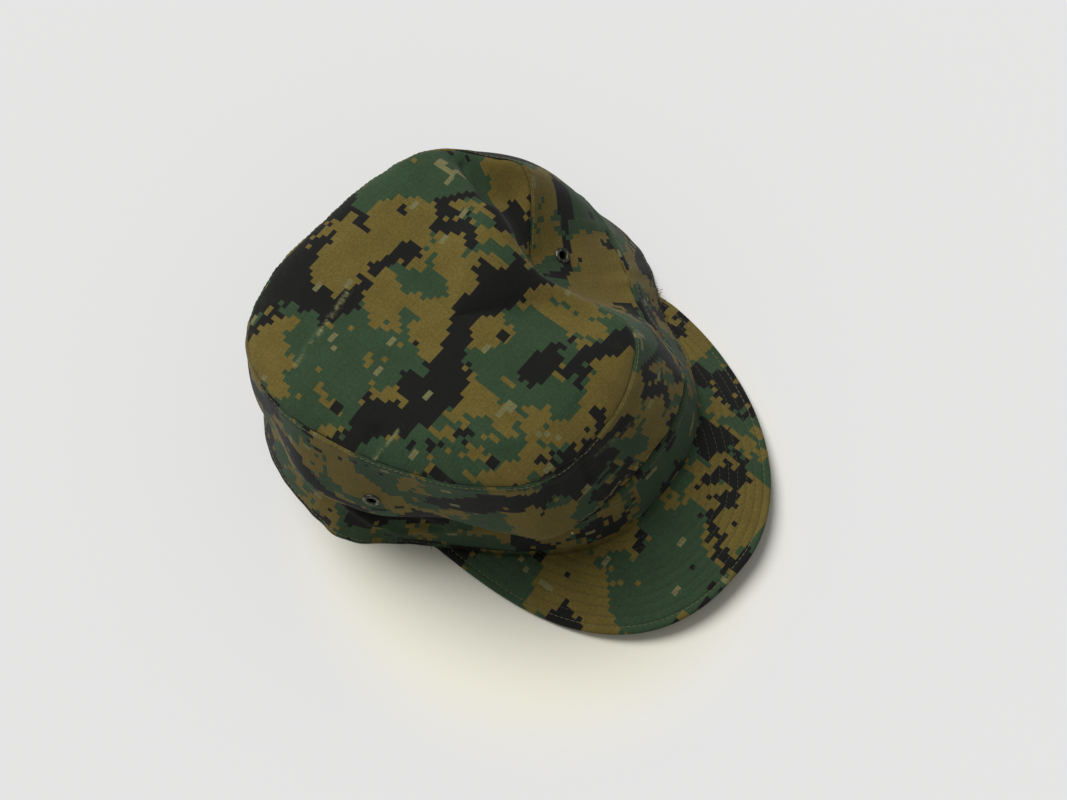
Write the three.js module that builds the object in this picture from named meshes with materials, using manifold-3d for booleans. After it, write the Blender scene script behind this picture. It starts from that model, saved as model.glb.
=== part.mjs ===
// Soft patrol cap lying on its hem, with its crown slumped to the back and the right.
// Millimetres, +Z up. The peak points along -Y and the wearer's left is +X.
// Turns are degrees round the cap from the front, positive to the wearer's left.
import * as THREE from 'three';
import { mergeVertices } from 'three/addons/utils/BufferGeometryUtils.js';
import Module from 'manifold-3d';

const wasm = await Module();
wasm.setup();

// Driving sizes
const headRadius = 92;        // mean radius of the head opening
const crownRadius = 78;       // mean radius of the top panel
const crownHeight = 90;       // height of the crown above the surface it lies on
const bandHeight = 38;        // height of the band round the head opening
const archRise = 14;          // how far the band's front is lifted off the surface
const slumpRight = 15;        // crown centre's shift to the wearer's right
const slumpBack = 20;         // crown centre's shift to the back
const bellyShare = 0.4;       // share of that shift at the middle of the side wall
const flatHemTurn = 85;       // turn behind which the hem lies flat on the surface
const middleUp = 1.015;       // height of the top panel's middle, a share of crownHeight

// Cloth
const wallThickness = 1.6;
const topThickness = 1.6;
const bandThickness = 2.4;
const visorThickness = 3;
const seamGap = 0.35;

// Visor
const visorHalfWidth = 80.4;
const visorLength = 106;      // tip of the peak in front of its widest line
const visorWidestLine = -28;  // y of the widest line
const visorMiddle = 0.5;      // x of the peak's middle
const visorTipLift = 8;       // how far the tip of the peak stands off the surface
const visorLiftSweep = 64;    // sweep at which the edge comes down to the surface
const visorSquarenessRight = 2.57;
const visorSquarenessLeft = 1.88;
const visorBackStretch = 120; // length of the flat back arc behind the widest line
const visorCornerTurn = 76.5; // turn of the peak's corners round the band
const visorCornerWidth = 2.5; // width of the peak where it ends at a corner
const visorCornerSweep = 94;  // degrees from the tip to a corner along the outline

// Eyelets
const eyeletRadius = 3.8;
const eyeletHoleRadius = 2;
const eyeletBarrelWall = 0.5;
const eyeletFlange = 0.5;
const eyeletClearance = 0.45;
const eyeletPlaces = [        // rise is a share of the side wall's height
  { name: 'eyelet_right', turn: -83, rise: 0.54 },
  { name: 'eyelet_left', turn: 90, rise: 0.67 },
];

// Mesh fineness
const turnSteps = 80;
const wallSteps = 8;
const bandSteps = 3;
const topSteps = 9;
const visorOutSteps = 5;
const eyeletSides = 16;

// Sections of the crown, one row for each turn. The outs of hem, tuck and belly are shares
// of headRadius, and those of the top seam are shares of crownRadius. Ridge and valley are
// shares of the way from the crown's middle to the seam. The ups of the hem are shares of
// archRise, those of the tuck are shares of bandHeight, the others of crownHeight.
const sections = [
  { turn: 0, hem: 0.935, hemUp: 1.0, tuck: 0.81, tuckUp: 1.08, belly: 0.84, bellyUp: 0.60,
    seam: 0.998, seamUp: 0.865, ridge: 0.78, ridgeUp: 0.965, valley: 0.93, valleyUp: 0.91 },
  { turn: 22.5, hem: 0.938, hemUp: 0.93, tuck: 0.82, tuckUp: 1.02, belly: 0.865, bellyUp: 0.59,
    seam: 1.008, seamUp: 0.855, ridge: 0.78, ridgeUp: 0.95, valley: 0.93, valleyUp: 0.90 },
  { turn: 45, hem: 0.892, hemUp: 0.60, tuck: 0.745, tuckUp: 0.90, belly: 0.77, bellyUp: 0.62,
    seam: 0.97, seamUp: 0.83, ridge: 0.88, ridgeUp: 0.87, valley: 0.96, valleyUp: 0.85 },
  { turn: 67.5, hem: 0.86, hemUp: 0.25, tuck: 0.708, tuckUp: 0.82, belly: 0.60, bellyUp: 0.50,
    seam: 0.74, seamUp: 0.745, ridge: 0.86, ridgeUp: 0.97, valley: 0.95, valleyUp: 0.83 },
  { turn: 90, hem: 1.018, hemUp: 0, tuck: 0.824, tuckUp: 0.79, belly: 0.685, bellyUp: 0.51,
    seam: 0.77, seamUp: 0.70, ridge: 0.80, ridgeUp: 1.03, valley: 0.91, valleyUp: 0.76 },
  { turn: 112.5, hem: 1.098, hemUp: 0, tuck: 1.02, tuckUp: 0.76, belly: 0.975, bellyUp: 0.60,
    seam: 0.985, seamUp: 0.885, ridge: 0.64, ridgeUp: 1.045, valley: 0.78, valleyUp: 0.80 },
  { turn: 135, hem: 1.12, hemUp: 0, tuck: 1.045, tuckUp: 0.85, belly: 1.01, bellyUp: 0.64,
    seam: 1.06, seamUp: 0.92, ridge: 0.90, ridgeUp: 0.98, valley: 0.96, valleyUp: 0.95 },
  { turn: 157.5, hem: 1.054, hemUp: 0, tuck: 0.978, tuckUp: 0.88, belly: 0.965, bellyUp: 0.64,
    seam: 0.99, seamUp: 0.905, ridge: 0.80, ridgeUp: 0.99, valley: 0.93, valleyUp: 0.955 },
  { turn: 180, hem: 1.0, hemUp: 0, tuck: 0.935, tuckUp: 0.88, belly: 0.93, bellyUp: 0.64,
    seam: 0.955, seamUp: 0.91, ridge: 0.80, ridgeUp: 0.99, valley: 0.93, valleyUp: 0.955 },
  { turn: 202.5, hem: 1.11, hemUp: 0, tuck: 1.04, tuckUp: 0.87, belly: 1.03, bellyUp: 0.62,
    seam: 1.04, seamUp: 0.91, ridge: 0.80, ridgeUp: 0.99, valley: 0.93, valleyUp: 0.955 },
  { turn: 225, hem: 1.25, hemUp: 0, tuck: 1.15, tuckUp: 0.82, belly: 1.13, bellyUp: 0.52,
    seam: 1.12, seamUp: 0.92, ridge: 0.80, ridgeUp: 1.0, valley: 0.93, valleyUp: 0.965 },
  { turn: 247.5, hem: 1.18, hemUp: 0, tuck: 1.075, tuckUp: 0.79, belly: 1.04, bellyUp: 0.485,
    seam: 1.04, seamUp: 0.968, ridge: 0.80, ridgeUp: 1.035, valley: 0.93, valleyUp: 1.0 },
  { turn: 270, hem: 0.965, hemUp: 0, tuck: 0.875, tuckUp: 0.79, belly: 0.97, bellyUp: 0.475,
    seam: 0.93, seamUp: 0.978, ridge: 0.80, ridgeUp: 1.045, valley: 0.93, valleyUp: 1.01 },
  { turn: 292.5, hem: 0.853, hemUp: 0.25, tuck: 0.775, tuckUp: 0.79, belly: 0.825, bellyUp: 0.45,
    seam: 0.896, seamUp: 0.973, ridge: 0.80, ridgeUp: 1.045, valley: 0.93, valleyUp: 1.005 },
  { turn: 315, hem: 0.86, hemUp: 0.60, tuck: 0.80, tuckUp: 0.85, belly: 0.85, bellyUp: 0.41,
    seam: 0.938, seamUp: 0.942, ridge: 0.80, ridgeUp: 1.025, valley: 0.93, valleyUp: 0.98 },
  { turn: 337.5, hem: 0.914, hemUp: 0.88, tuck: 0.833, tuckUp: 1.02, belly: 0.88, bellyUp: 0.48,
    seam: 1.008, seamUp: 0.902, ridge: 0.78, ridgeUp: 1.0, valley: 0.93, valleyUp: 0.945 },
];

// Folds laid over the sections. Each row swells one ring round one turn: spread is its half
// width in degrees, edge how square its ends are, up a share of crownHeight, and out a share of
// headRadius, or on the ridge of the way to the seam.
const folds = [
  { ring: 'hem', turn: 262, spread: 9, edge: 2, out: 0.075, up: 0 },
  { ring: 'seam', turn: 75, spread: 31, edge: 6, out: -0.098, up: -0.026 },
  { ring: 'seam', turn: 105, spread: 9, edge: 2, out: 0.12, up: 0.03 },
  { ring: 'seam', turn: 48, spread: 9, edge: 2, out: -0.02, up: 0 },
  { ring: 'tuck', turn: 35, spread: 10, edge: 2, out: 0.05, up: 0 },
  { ring: 'belly', turn: 255, spread: 9, edge: 2, out: 0.05, up: -0.01 },
  { ring: 'belly', turn: 101, spread: 8, edge: 2, out: 0.07, up: -0.03 },
  { ring: 'belly', turn: 328, spread: 9, edge: 2, out: 0.045, up: -0.04 },
  { ring: 'ridge', turn: 103.5, spread: 6, edge: 2, out: -0.045, up: 0 },
];

const ringScale = {
  hem: { out: headRadius, up: archRise, shift: 0 },
  tuck: { out: headRadius, up: bandHeight, shift: 0 },
  belly: { out: headRadius, up: crownHeight, shift: bellyShare },
  seam: { out: crownRadius, up: crownHeight, shift: 1 },
};

// A column of the table at any turn: a closed cubic through its rows
function column(name, turn) {
  const step = 360 / sections.length;
  const place = (((turn % 360) + 360) % 360) / step;
  const row = Math.floor(place);
  const f = place - row;
  const value = (k) => sections[(row + k + sections.length) % sections.length][name];
  const [a, b, c, d] = [value(-1), value(0), value(1), value(2)];
  return b + 0.5 * f * (c - a + f * (2 * a - 5 * b + 4 * c - d + f * (3 * (b - c) + d - a)));
}

// What the folds add to a ring at a turn: shares out and up
function foldShares(name, turn) {
  const total = { out: 0, up: 0 };
  for (const fold of folds) {
    if (fold.ring !== name) continue;
    const away = ((turn - fold.turn + 540) % 360) - 180;
    const swell = Math.exp(-(Math.abs(away / fold.spread) ** fold.edge));
    total.out += fold.out * swell;
    total.up += fold.up * swell;
  }
  return total;
}

function ringPoint(name, turn) {
  const scale = ringScale[name];
  const fold = foldShares(name, turn);
  const out = column(name, turn) * scale.out + fold.out * headRadius;
  const up = column(`${name}Up`, turn) * scale.up + fold.up * crownHeight;
  const a = THREE.MathUtils.degToRad(turn);
  const x = -slumpRight * scale.shift + out * Math.sin(a);
  const y = slumpBack * scale.shift - out * Math.cos(a);
  return new THREE.Vector3(x, y, Math.max(up, 0));
}

// The hem lies flat on the surface behind the visor's corners
function hemPoint(turn) {
  const p = ringPoint('hem', turn);
  const fromFront = Math.abs(((turn + 540) % 360) - 180);
  if (fromFront >= flatHemTurn) p.z = 0;
  return p;
}

const crownMiddle = new THREE.Vector3(-slumpRight, slumpBack, crownHeight * middleUp);

function topPoint(turn, name) {
  const fold = foldShares(name, turn);
  const p = crownMiddle.clone().lerp(ringPoint('seam', turn), column(name, turn) + fold.out);
  p.z = (column(`${name}Up`, turn) + fold.up) * crownHeight;
  return p;
}

function sectionCurve(points) {
  return new THREE.CatmullRomCurve3(points, false, 'centripetal');
}

const wallCurve = (turn) => sectionCurve([
  ringPoint('tuck', turn), ringPoint('belly', turn), ringPoint('seam', turn)]);
const topCurve = (turn) => sectionCurve([
  ringPoint('seam', turn), topPoint(turn, 'valley'), topPoint(turn, 'ridge'), crownMiddle]);

// Points of one section with the same steps between its rings, clear of the cloth it starts at
function sectionPoints(curve, steps) {
  const points = curve.getPoints(steps);
  points[0].addScaledVector(curve.getTangent(0), seamGap);
  return points;
}

function turns(count) {
  return Array.from({ length: count }, (_, i) => (360 * i) / count);
}

const turnList = turns(turnSteps);
const bandGrid = turnList.map((turn) => {
  const hem = hemPoint(turn);
  const tuck = ringPoint('tuck', turn);
  return Array.from({ length: bandSteps + 1 }, (_, j) => hem.clone().lerp(tuck, j / bandSteps));
});
const wallGrid = turnList.map((turn) => sectionPoints(wallCurve(turn), wallSteps));
const topGrid = turnList.map((turn) => sectionPoints(topCurve(turn), topSteps));

// Outward unit normals of a grid of points, closed or open round its rows
function gridNormals(grid, closed) {
  const rows = grid.length;
  return grid.map((line, i) => line.map((p, j) => {
    const next = closed ? grid[(i + 1) % rows] : grid[Math.min(i + 1, rows - 1)];
    const last = closed ? grid[(i - 1 + rows) % rows] : grid[Math.max(i - 1, 0)];
    const along = next[j].clone().sub(last[j]);
    const across = line[Math.min(j + 1, line.length - 1)].clone().sub(line[Math.max(j - 1, 0)]);
    return along.cross(across).normalize();
  }));
}

const flatOut = (n) => new THREE.Vector3(n.x, n.y, 0).normalize();

// One direction for two cloths that meet, so that their edges lie face to face
function mitre(first, second) {
  return first.map((n, i) => {
    const sum = n.clone().add(second[i]);
    const half = sum.length() / 2;
    return sum.normalize().multiplyScalar(1 / Math.max(half, 0.8));
  });
}

const bandNormals = gridNormals(bandGrid, true);
const wallNormals = gridNormals(wallGrid, true);
const topNormals = gridNormals(topGrid, true);
topNormals.forEach((line) => line[topSteps].set(0, 0, 1));

const tuckMitre = mitre(bandNormals.map((n) => n[bandSteps]), wallNormals.map((n) => n[0]));
const seamMitre = mitre(wallNormals.map((n) => n[wallSteps]), topNormals.map((n) => n[0]));
turnList.forEach((_, i) => {
  bandNormals[i][0] = flatOut(bandNormals[i][0]);
  bandNormals[i][bandSteps] = tuckMitre[i];
  wallNormals[i][0] = tuckMitre[i];
  wallNormals[i][wallSteps] = seamMitre[i];
  topNormals[i][0] = seamMitre[i];
});

// A cloth of even thickness round a grid: two faces and the edges between them.
// With a hub, the grid's last points all lie at one place and close the middle.
function clothGeometry(grid, normals, thickness, { closed, hub = false }) {
  const rows = grid.length;
  const columns = grid[0].length;
  const positions = [];
  const faces = [];
  const addLayer = (side) => grid.map((line, i) => line.map((p, j) => {
    const q = p.clone().addScaledVector(normals[i][j], (side * thickness) / 2);
    positions.push(q.x, q.y, q.z);
    return positions.length / 3 - 1;
  }));
  const outer = addLayer(1);
  const inner = addLayer(-1);
  const quad = (a, b, c, d) => faces.push(a, b, c, a, c, d);
  const lastRow = closed ? rows : rows - 1;
  for (let i = 0; i < lastRow; i += 1) {
    const n = (i + 1) % rows;
    for (let j = 0; j < columns - 1; j += 1) {
      quad(outer[i][j], outer[n][j], outer[n][j + 1], outer[i][j + 1]);
      quad(inner[i][j], inner[i][j + 1], inner[n][j + 1], inner[n][j]);
    }
    const end = columns - 1;
    quad(outer[i][0], inner[i][0], inner[n][0], outer[n][0]);
    if (!hub) quad(outer[i][end], outer[n][end], inner[n][end], inner[i][end]);
  }
  if (!closed) {
    const end = rows - 1;
    for (let j = 0; j < columns - 1; j += 1) {
      quad(outer[0][j], outer[0][j + 1], inner[0][j + 1], inner[0][j]);
      quad(outer[end][j], inner[end][j], inner[end][j + 1], outer[end][j + 1]);
    }
  }
  return closedGeometry(positions, faces);
}

// Joins points that share a place and drops the faces that have no area
function closedGeometry(positions, faces) {
  const geometry = new THREE.BufferGeometry();
  geometry.setAttribute('position', new THREE.Float32BufferAttribute(positions, 3));
  geometry.setIndex(faces);
  const merged = mergeVertices(geometry, 1e-4);
  const index = merged.getIndex();
  const kept = [];
  for (let k = 0; k < index.count; k += 3) {
    const [a, b, c] = [index.getX(k), index.getX(k + 1), index.getX(k + 2)];
    if (a !== b && b !== c && c !== a) kept.push(a, b, c);
  }
  merged.setIndex(kept);
  return merged;
}

function toSolid(geometry) {
  const bare = geometry.clone();
  bare.deleteAttribute('normal');
  bare.deleteAttribute('uv');
  const merged = mergeVertices(bare, 1e-4);
  return new wasm.Manifold(new wasm.Mesh({
    numProp: 3,
    vertProperties: new Float32Array(merged.getAttribute('position').array),
    triVerts: new Uint32Array(merged.getIndex().array),
  }));
}

function fromSolid(solid) {
  const mesh = solid.getMesh();
  return closedGeometry(Array.from(mesh.vertProperties), Array.from(mesh.triVerts));
}

function makeMesh(name, geometry, colour, roughness, metalness) {
  geometry.computeVertexNormals();
  const material = new THREE.MeshStandardMaterial({ color: colour, roughness, metalness });
  const mesh = new THREE.Mesh(geometry, material);
  mesh.name = name;
  return mesh;
}

// Where an eyelet sits: a point on the side wall's middle, and a turn from +Z to its normal
function eyeletSeat({ turn, rise }) {
  const middle = wallCurve(turn).getPointAt(rise);
  const ahead = wallCurve(turn + 1).getPointAt(rise);
  const behind = wallCurve(turn - 1).getPointAt(rise);
  const upward = wallCurve(turn).getTangentAt(rise);
  const normal = ahead.sub(behind).cross(upward).normalize();
  const facing = new THREE.Quaternion().setFromUnitVectors(new THREE.Vector3(0, 0, 1), normal);
  return { middle, facing };
}

// An eyelet's outline turned round its axis: a flange on each side of the wall and a barrel
function eyeletGeometry() {
  const seat = wallThickness / 2 + eyeletClearance;
  const face = seat + eyeletFlange;
  const barrel = eyeletHoleRadius + eyeletBarrelWall;
  const profile = [
    [eyeletHoleRadius, -face], [eyeletRadius, -face], [eyeletRadius, -seat], [barrel, -seat],
    [barrel, seat], [eyeletRadius, seat], [eyeletRadius, face], [eyeletHoleRadius, face],
    [eyeletHoleRadius, -face],
  ].map(([r, z]) => new THREE.Vector2(r, z));
  const ring = new THREE.LatheGeometry(profile, eyeletSides);
  ring.rotateX(Math.PI / 2);
  return ring;
}

const eyelets = eyeletPlaces.map((place) => ({ name: place.name, seat: eyeletSeat(place) }));

function wallWithHoles() {
  let wall = toSolid(clothGeometry(wallGrid, wallNormals, wallThickness, { closed: true }));
  const holeRadius = eyeletHoleRadius + eyeletBarrelWall + eyeletClearance;
  for (const { seat } of eyelets) {
    const punch = new THREE.CylinderGeometry(holeRadius, holeRadius, wallThickness * 6, eyeletSides);
    punch.rotateX(Math.PI / 2);
    punch.applyQuaternion(seat.facing);
    punch.translate(seat.middle.x, seat.middle.y, seat.middle.z);
    wall = wall.subtract(toSolid(punch));
  }
  return fromSolid(wall);
}

// A place on the peak's outline: sweep is 0 at the tip and grows to the wearer's left
function visorEdge(sweep) {
  const a = THREE.MathUtils.degToRad(sweep);
  const power = 2 / (sweep < 0 ? visorSquarenessRight : visorSquarenessLeft);
  const side = Math.sign(Math.sin(a)) * Math.abs(Math.sin(a)) ** power;
  const front = Math.cos(a);
  const ahead = front > 0 ? visorLength * front ** power : visorBackStretch * front;
  const lift = visorTipLift * Math.max(0, Math.cos(((sweep / visorLiftSweep) * Math.PI) / 2));
  const x = visorMiddle + visorHalfWidth * side;
  return new THREE.Vector3(x, visorWidestLine - ahead, visorThickness / 2 + lift);
}

// The peak's inner edge follows the band's front, one clearance away from its own corners
function visorSeam(step) {
  const i = (step + turnSteps) % turnSteps;
  const hem = bandGrid[i][0].clone();
  hem.addScaledVector(bandNormals[i][0], bandThickness / 2 + seamGap);
  hem.z += visorThickness / 2;
  return hem;
}

const visorHalfSteps = Math.round((visorCornerTurn * turnSteps) / 360);
const visorGrid = Array.from({ length: 2 * visorHalfSteps + 1 }, (_, i) => {
  const step = i - visorHalfSteps;
  const inner = visorSeam(step);
  const outer = visorEdge((step / visorHalfSteps) * visorCornerSweep);
  const outward = bandNormals[(step + turnSteps) % turnSteps][0];
  const reach = outer.clone().sub(inner).dot(outward);
  outer.addScaledVector(outward, Math.max(0, visorCornerWidth - reach));
  return Array.from({ length: visorOutSteps + 1 },
    (__, j) => outer.clone().lerp(inner, j / visorOutSteps));
});
const visorNormals = gridNormals(visorGrid, false);
visorNormals.forEach((line) => line[visorOutSteps].set(0, 0, 1));

const coyoteBrown = 0x705e32;
const leafGreen = 0x32523a;
const blackSteel = 0x3a3c38;

const cap = new THREE.Group();
cap.add(makeMesh('band', clothGeometry(bandGrid, bandNormals, bandThickness, { closed: true }),
  leafGreen, 0.9, 0));
cap.add(makeMesh('side_wall', wallWithHoles(), coyoteBrown, 0.9, 0));
cap.add(makeMesh('top_panel', clothGeometry(topGrid, topNormals, topThickness,
  { closed: true, hub: true }), leafGreen, 0.9, 0));
cap.add(makeMesh('visor', clothGeometry(visorGrid, visorNormals, visorThickness,
  { closed: false }), coyoteBrown, 0.9, 0));
for (const { name, seat } of eyelets) {
  const ring = makeMesh(name, eyeletGeometry(), blackSteel, 0.45, 0.8);
  ring.position.copy(seat.middle);
  ring.quaternion.copy(seat.facing);
  cap.add(ring);
}

// The cap stands on z = 0 with the middle of its outline over the origin
cap.updateMatrixWorld(true);
const bounds = new THREE.Box3().setFromObject(cap, true);
const middle = bounds.getCenter(new THREE.Vector3());
cap.position.set(-middle.x, -middle.y, -bounds.min.z);
cap.updateMatrixWorld(true);

export default cap;
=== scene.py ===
import math

import bmesh
import bpy
import numpy as np
from mathutils import Matrix, Vector


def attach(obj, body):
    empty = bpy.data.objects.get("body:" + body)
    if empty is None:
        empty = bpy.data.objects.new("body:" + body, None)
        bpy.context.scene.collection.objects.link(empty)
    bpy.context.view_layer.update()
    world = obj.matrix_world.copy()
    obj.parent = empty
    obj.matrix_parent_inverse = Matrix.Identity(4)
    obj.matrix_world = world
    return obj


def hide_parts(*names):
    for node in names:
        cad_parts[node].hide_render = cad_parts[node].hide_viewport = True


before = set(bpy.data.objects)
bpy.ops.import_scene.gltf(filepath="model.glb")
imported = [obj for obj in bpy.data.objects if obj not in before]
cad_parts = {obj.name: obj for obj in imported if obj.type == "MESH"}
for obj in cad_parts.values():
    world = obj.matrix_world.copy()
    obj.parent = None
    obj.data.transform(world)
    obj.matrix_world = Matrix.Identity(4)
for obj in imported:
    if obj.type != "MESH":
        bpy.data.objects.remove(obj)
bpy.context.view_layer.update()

MM = 0.001
random = np.random.default_rng(7)

# Sizes of the cap in millimetres and degrees. They are those of its solids, apart from
# VISOR_CORNER_WIDTH, because the dressed peak tapers further.
HEAD_RADIUS = 92
CROWN_RADIUS = 78
CROWN_HEIGHT = 90
BAND_HEIGHT = 38
ARCH_RISE = 14
SLUMP_RIGHT = 15
SLUMP_BACK = 20
BELLY_SHARE = 0.4
FLAT_HEM_TURN = 85
MIDDLE_UP = 1.015
WALL_THICKNESS = 1.6
BAND_THICKNESS = 2.4
VISOR_THICKNESS = 3
VISOR_HALF_WIDTH = 80.4
VISOR_LENGTH = 106
VISOR_WIDEST_LINE = -28
VISOR_MIDDLE = 0.5
VISOR_TIP_LIFT = 8
VISOR_LIFT_SWEEP = 64
VISOR_SQUARENESS = {"right": 2.57, "left": 1.88}
VISOR_BACK_STRETCH = 120
VISOR_CORNER_TURN = 76.5
VISOR_CORNER_WIDTH = 1.0
VISOR_CORNER_SWEEP = 94
EYELET_RADIUS = 3.8
EYELET_HOLE_RADIUS = 2
# Of each eyelet: its turn round the cap, and its share of the way up the side wall
EYELETS = {"eyelet_right": (-83, 0.54), "eyelet_left": (90, 0.67)}
# From the middle of the head opening to the middle of the cap's outline
OUTLINE_SHIFT = np.array([3.402, 18.383, 0.0])

# Fineness of the cloth meshes
TURN_STEPS = 480
BAND_STEPS = 30
WALL_STEPS = 52
TOP_STEPS = 66
VISOR_STEPS = 130
VISOR_TURNS = 321
CURVE_POINTS = 61          # of each piece of a section before it is cut into even steps

# Sections of the crown, one row for each turn round the cap from the front
SECTION_COLUMNS = ("hem", "hemUp", "tuck", "tuckUp", "belly", "bellyUp",
                   "seam", "seamUp", "ridge", "ridgeUp", "valley", "valleyUp")
SECTIONS = np.array([
    (0.935, 1.00, 0.810, 1.08, 0.840, 0.600, 0.998, 0.865, 0.78, 0.965, 0.93, 0.910),
    (0.938, 0.93, 0.820, 1.02, 0.865, 0.590, 1.008, 0.855, 0.78, 0.950, 0.93, 0.900),
    (0.892, 0.60, 0.745, 0.90, 0.770, 0.620, 0.970, 0.830, 0.88, 0.870, 0.96, 0.850),
    (0.860, 0.25, 0.708, 0.82, 0.600, 0.500, 0.740, 0.745, 0.86, 0.970, 0.95, 0.830),
    (1.018, 0.00, 0.824, 0.79, 0.685, 0.510, 0.770, 0.700, 0.80, 1.030, 0.91, 0.760),
    (1.098, 0.00, 1.020, 0.76, 0.975, 0.600, 0.985, 0.885, 0.64, 1.045, 0.78, 0.800),
    (1.120, 0.00, 1.045, 0.85, 1.010, 0.640, 1.060, 0.920, 0.90, 0.980, 0.96, 0.950),
    (1.054, 0.00, 0.978, 0.88, 0.965, 0.640, 0.990, 0.905, 0.80, 0.990, 0.93, 0.955),
    (1.000, 0.00, 0.935, 0.88, 0.930, 0.640, 0.955, 0.910, 0.80, 0.990, 0.93, 0.955),
    (1.110, 0.00, 1.040, 0.87, 1.030, 0.620, 1.040, 0.910, 0.80, 0.990, 0.93, 0.955),
    (1.250, 0.00, 1.150, 0.82, 1.130, 0.520, 1.120, 0.920, 0.80, 1.000, 0.93, 0.965),
    (1.180, 0.00, 1.075, 0.79, 1.040, 0.485, 1.040, 0.968, 0.80, 1.035, 0.93, 1.000),
    (0.965, 0.00, 0.875, 0.79, 0.970, 0.475, 0.930, 0.978, 0.80, 1.045, 0.93, 1.010),
    (0.853, 0.25, 0.775, 0.79, 0.825, 0.450, 0.896, 0.973, 0.80, 1.045, 0.93, 1.005),
    (0.860, 0.60, 0.800, 0.85, 0.850, 0.410, 0.938, 0.942, 0.80, 1.025, 0.93, 0.980),
    (0.914, 0.88, 0.833, 1.02, 0.880, 0.480, 1.008, 0.902, 0.78, 1.000, 0.93, 0.945),
])

# Folds laid over the sections: ring, turn, spread, edge, out (a share of HEAD_RADIUS, and on
# the ridge a share of the way to the seam), up (a share of CROWN_HEIGHT)
FOLDS = (
    ("hem", 262, 9, 2, 0.075, 0),
    ("seam", 75, 31, 6, -0.098, -0.026),
    ("seam", 105, 9, 2, 0.12, 0.03),
    ("seam", 48, 9, 2, -0.02, 0),
    ("tuck", 35, 10, 2, 0.05, 0),
    ("belly", 255, 9, 2, 0.05, -0.01),
    ("belly", 101, 8, 2, 0.07, -0.03),
    ("belly", 328, 9, 2, 0.045, -0.04),
    ("ridge", 103.5, 6, 2, -0.045, 0),
)
# Of each ring: what its outs and ups are shares of, and its share of the crown's slump
RING_SCALE = {
    "hem": (HEAD_RADIUS, ARCH_RISE, 0),
    "tuck": (HEAD_RADIUS, BAND_HEIGHT, 0),
    "belly": (HEAD_RADIUS, CROWN_HEIGHT, BELLY_SHARE),
    "seam": (CROWN_RADIUS, CROWN_HEIGHT, 1),
}


def column(name, turn):
    """A column of the table at any turns: a closed cubic through its rows."""
    values = SECTIONS[:, SECTION_COLUMNS.index(name)]
    place = np.mod(turn, 360) * len(values) / 360
    row = np.floor(place).astype(int)
    f = place - row
    a, b, c, d = (values[(row + k) % len(values)] for k in (-1, 0, 1, 2))
    return b + 0.5 * f * (c - a + f * (2 * a - 5 * b + 4 * c - d + f * (3 * (b - c) + d - a)))


def from_turn(turn, centre):
    """Signed degrees from a centre turn, -180 to 180."""
    return np.mod(turn - centre + 540, 360) - 180


def fold_shares(name, turn):
    """What the folds add to a ring: shares out and up."""
    out, up = np.zeros(len(turn)), np.zeros(len(turn))
    for ring, centre, spread, edge, fold_out, fold_up in FOLDS:
        if ring == name:
            swell = np.exp(-np.abs(from_turn(turn, centre) / spread) ** edge)
            out += fold_out * swell
            up += fold_up * swell
    return out, up


def ring_point(name, turn):
    radius, height, shift = RING_SCALE[name]
    fold_out, fold_up = fold_shares(name, turn)
    out = column(name, turn) * radius + fold_out * HEAD_RADIUS
    up = column(name + "Up", turn) * height + fold_up * CROWN_HEIGHT
    a = np.radians(turn)
    x = -SLUMP_RIGHT * shift + out * np.sin(a)
    y = SLUMP_BACK * shift - out * np.cos(a)
    return np.stack([x, y, np.maximum(up, 0)], -1)


def hem_point(turn):
    p = ring_point("hem", turn)
    p[np.abs(from_turn(turn, 0)) >= FLAT_HEM_TURN, 2] = 0
    return p


CROWN_MIDDLE = np.array([-SLUMP_RIGHT, SLUMP_BACK, CROWN_HEIGHT * MIDDLE_UP])


def top_point(turn, name):
    fold_out, fold_up = fold_shares(name, turn)
    share = (column(name, turn) + fold_out)[:, None]
    p = CROWN_MIDDLE + (ring_point("seam", turn) - CROWN_MIDDLE) * share
    p[:, 2] = (column(name + "Up", turn) + fold_up) * CROWN_HEIGHT
    return p


def section_curve(points, steps):
    """Centripetal curves through rows of points, cut into steps of equal length."""
    first, last = 2 * points[0] - points[1], 2 * points[-1] - points[-2]
    p = [first, *points, last]
    f = np.linspace(0, 1, CURVE_POINTS)[None, :, None]
    parts = []
    for k in range(1, len(p) - 2):
        gap = [np.linalg.norm(p[k + i] - p[k + i - 1], axis=1) ** 0.5 for i in (0, 1, 2)]
        d0, d1, d2 = (np.maximum(g, 1e-3)[:, None] for g in gap)
        x0, x1, x2, x3 = p[k - 1:k + 3]
        t1 = d1 * ((x1 - x0) / d0 - (x2 - x0) / (d0 + d1) + (x2 - x1) / d1)
        t2 = d1 * ((x2 - x1) / d1 - (x3 - x1) / (d1 + d2) + (x3 - x2) / d2)
        x1, x2, t1, t2 = (q[:, None, :] for q in (x1, x2, t1, t2))
        part = x1 + f * (t1 + f * (3 * (x2 - x1) - 2 * t1 - t2 + f * (2 * (x1 - x2) + t1 + t2)))
        parts.append(part if k == 1 else part[:, 1:])
    return even_steps(np.concatenate(parts, 1), steps)


def even_steps(lines, steps):
    """Each line of points cut again into steps of equal length."""
    length = np.linalg.norm(np.diff(lines, axis=1), axis=2).cumsum(1)
    length = np.concatenate([np.zeros((len(lines), 1)), length], 1)
    out = np.empty((len(lines), steps + 1, lines.shape[2]))
    for i, line in enumerate(lines):
        wanted = np.linspace(0, length[i, -1], steps + 1)
        for k in range(lines.shape[2]):
            out[i, :, k] = np.interp(wanted, length[i], line[:, k])
    return out


def unit(v):
    return v / np.maximum(np.linalg.norm(v, axis=-1, keepdims=True), 1e-9)


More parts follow.
